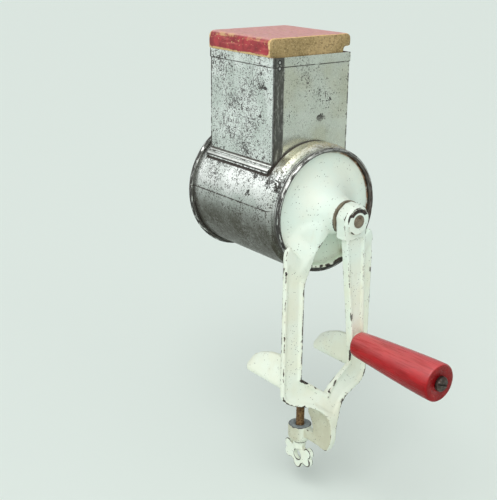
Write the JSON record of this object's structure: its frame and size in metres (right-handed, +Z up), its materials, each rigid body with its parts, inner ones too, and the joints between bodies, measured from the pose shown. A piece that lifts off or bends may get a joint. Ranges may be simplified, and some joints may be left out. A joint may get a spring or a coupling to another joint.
{
  "type": "table-clamp rotary grater",
  "caption": "Hand-cranked rotary drum grater: tin hopper with wooden pusher, tin tube, enamelled frame with two legs and a screw clamp for a table's edge, red wooden grip.",
  "frame": {"origin": "where the axis of the clamp screw meets the plane of the undersides of the feet", "axes": "+Z up along the clamp screw, +Y from the crank to the open rear of the tube, +X to the right of someone who faces the crank"},
  "size_m": [0.0972, 0.2085, 0.3282],
  "materials": {
    "cream_enamel": "thin glossy enamel, chipped at the edges",
    "tinplate": "dull tin, speckled with dark spots",
    "rim_wire": "dark wire",
    "painted_wood": "red paint, bare end grain",
    "lacquered_wood": "glossy red lacquer",
    "turned_steel": "aged bare steel",
    "drum_tin": "punched tin",
    "nut_metal": "plain casting",
    "screw_steel": "brown with rust"
  },
  "bodies": {
    "frame": {"cast_frame": "cream_enamel", "housing_tube": "tinplate", "front_rim_wire": "rim_wire", "rear_rim_wire": "rim_wire", "hopper": "tinplate"},
    "pusher": {"pusher": "painted_wood"},
    "crank": {"crank_arm": "cream_enamel", "crank_shaft": "turned_steel", "thrust_washer": "turned_steel", "grip_bolt": "turned_steel", "drum_panel_right": "drum_tin", "drum_panel_bottom": "drum_tin", "drum_panel_left": "drum_tin", "drum_panel_top": "drum_tin", "drum_front_plate": "drum_tin", "drum_hub_plate": "turned_steel", "drum_rivets": "turned_steel", "drum_washer": "turned_steel", "wing_nut": "nut_metal"},
    "grip": {"crank_grip": "lacquered_wood"},
    "pad": {"swivel_pad": "screw_steel"},
    "screw": {"clamp_screw": "screw_steel", "clamp_wing": "cream_enamel"}
  },
  "joints": [
    {"name": "crank_spin", "type": "hinge", "parent": "frame", "child": "crank", "pos_m": [0, -0.021, 0.124], "axis": [0, 1, 0], "continuous": true},
    {"name": "grip_spin", "type": "hinge", "parent": "crank", "child": "grip", "pos_m": [0.00718, -0.081, 0.03278], "axis": [0, 1, 0], "continuous": true},
    {"name": "pusher_lift", "type": "slide", "parent": "frame", "child": "pusher", "axis": [0, 0, 1], "range_m": [0, 0.1]},
    {"name": "pad_travel", "type": "slide", "parent": "frame", "child": "pad", "axis": [0, 0, -1], "range_m": [0, 0.02]},
    {"name": "screw_turn", "type": "hinge", "parent": "pad", "child": "screw", "pos_m": [0, 0, -0.056], "axis": [0, 0, -1], "range_deg": [0, 5364]}
  ],
  "couplings": [
    {"joint": "pad_travel", "follows": "screw_turn", "m_per_rad": 0.00020213}
  ]
}
